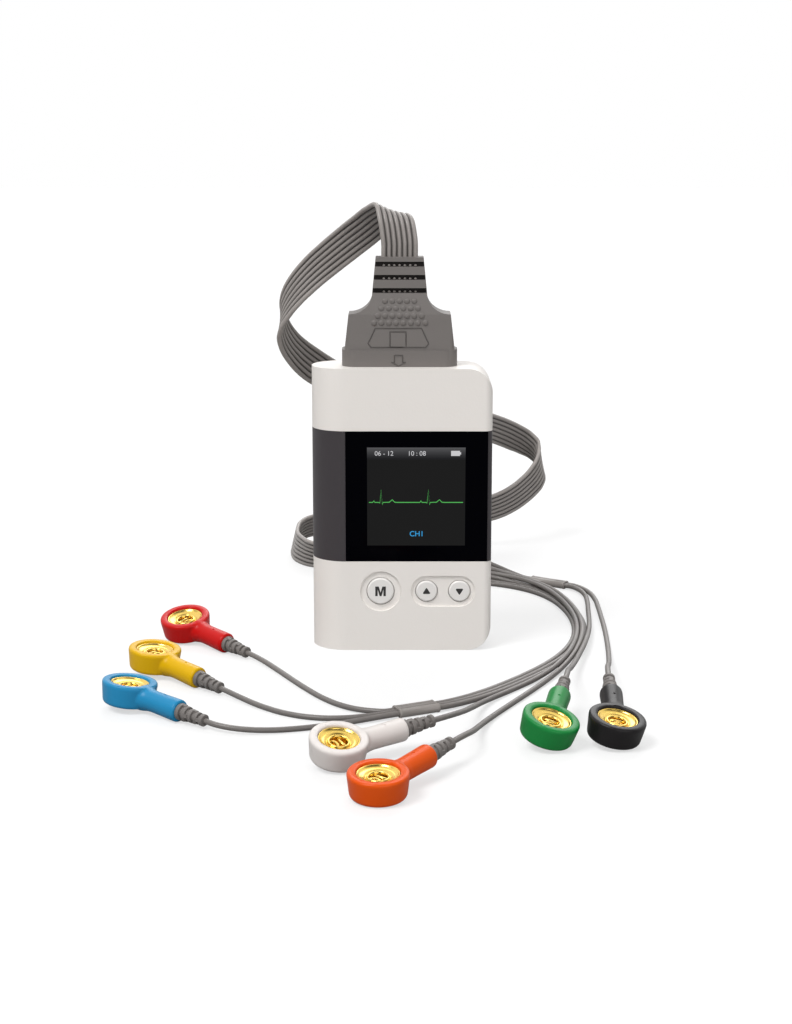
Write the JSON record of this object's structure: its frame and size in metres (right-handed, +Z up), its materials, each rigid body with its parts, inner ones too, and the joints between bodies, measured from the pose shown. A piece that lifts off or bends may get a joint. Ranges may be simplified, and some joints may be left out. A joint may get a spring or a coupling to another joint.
{
  "type": "ecg home monitor",
  "caption": "Pocket heart recorder with a colour screen, keys and a sliding battery door, a plugged-in ribbon cable and snap leads that clip on skin electrodes.",
  "frame": {"origin": "centre of the recorder's foot, in the middle of its width and depth", "axes": "+Z up the recorder towards its cable plug, -Y out of the screen, +X to the right of the screen"},
  "size_m": [0.1339, 0.2693, 0.1215],
  "materials": {
    "case_white": "fine satin",
    "band_grey": "satin",
    "window_black": "polished",
    "foam_black": "matte",
    "display": "display glass",
    "flex_film": "film",
    "board_green": "solder resist",
    "chip_black": "moulded",
    "plunger_white": "moulded",
    "key_white": "satin",
    "cell_jacket": "printed film, left plain",
    "steel": "bright",
    "gilt": "gold plated",
    "plug_grey": "soft matte",
    "cable_grey": "matte",
    "sleeve_grey": "matte",
    "snap_black": "moulded",
    "snap_green": "moulded",
    "snap_orange": "moulded",
    "snap_white": "moulded",
    "snap_blue": "moulded",
    "snap_yellow": "moulded",
    "snap_red": "moulded"
  },
  "bodies": {
    "recorder": {"front_cover": "case_white", "rear_cover": "case_white", "centre_band": "band_grey", "display_lens": "window_black", "display_gasket": "foam_black", "display_module": "display", "display_flex": "flex_film", "main_board": "board_green", "board_chips": "chip_black", "switch_bodies": "chip_black", "battery_cell": "cell_jacket", "battery_contacts": "steel", "socket_housing": "chip_black", "socket_pins": "gilt", "case_screws": "steel", "ribbon_cable": "cable_grey", "sleeve_pair": "sleeve_grey", "sleeve_trio": "sleeve_grey", "lead_black": "cable_grey", "lead_green": "cable_grey", "lead_orange": "cable_grey", "lead_white": "cable_grey", "lead_blue": "cable_grey", "lead_yellow": "cable_grey", "lead_red": "cable_grey", "relief_black": "plug_grey", "relief_green": "plug_grey", "relief_orange": "plug_grey", "relief_white": "plug_grey", "relief_blue": "plug_grey", "relief_yellow": "plug_grey", "relief_red": "plug_grey", "snap_black": "snap_black", "snap_green": "snap_green", "snap_orange": "snap_orange", "snap_white": "snap_white", "snap_blue": "snap_blue", "snap_yellow": "snap_yellow", "snap_red": "snap_red", "socket_black": "gilt", "socket_green": "gilt", "socket_orange": "gilt", "socket_white": "gilt", "socket_blue": "gilt", "socket_yellow": "gilt", "socket_red": "gilt"},
    "key_menu": {"button_menu": "key_white", "plunger_menu": "plunger_white"},
    "key_up": {"button_up": "key_white", "plunger_up": "plunger_white"},
    "key_down": {"button_down": "key_white", "plunger_down": "plunger_white"},
    "door": {"battery_door": "case_white"},
    "plug": {"plug_overmould": "plug_grey", "plug_shell": "chip_black", "plug_contacts": "gilt"}
  },
  "joints": [
    {"name": "press_menu", "type": "slide", "parent": "recorder", "child": "key_menu", "axis": [0, 1, 0], "range_m": [0, 0.0005], "stiffness_N_per_m": 500, "springref_m": -0.002},
    {"name": "press_up", "type": "slide", "parent": "recorder", "child": "key_up", "axis": [0, 1, 0], "range_m": [0, 0.0005], "stiffness_N_per_m": 500, "springref_m": -0.002},
    {"name": "press_down", "type": "slide", "parent": "recorder", "child": "key_down", "axis": [0, 1, 0], "range_m": [0, 0.0005], "stiffness_N_per_m": 500, "springref_m": -0.002},
    {"name": "door_slide", "type": "slide", "parent": "recorder", "child": "door", "axis": [0, 0, 1], "range_m": [0, 0.06]},
    {"name": "plug_pull", "type": "slide", "parent": "recorder", "child": "plug", "axis": [0, 0, 1], "range_m": [0, 0.009], "deforming": ["ribbon_cable"]}
  ]
}
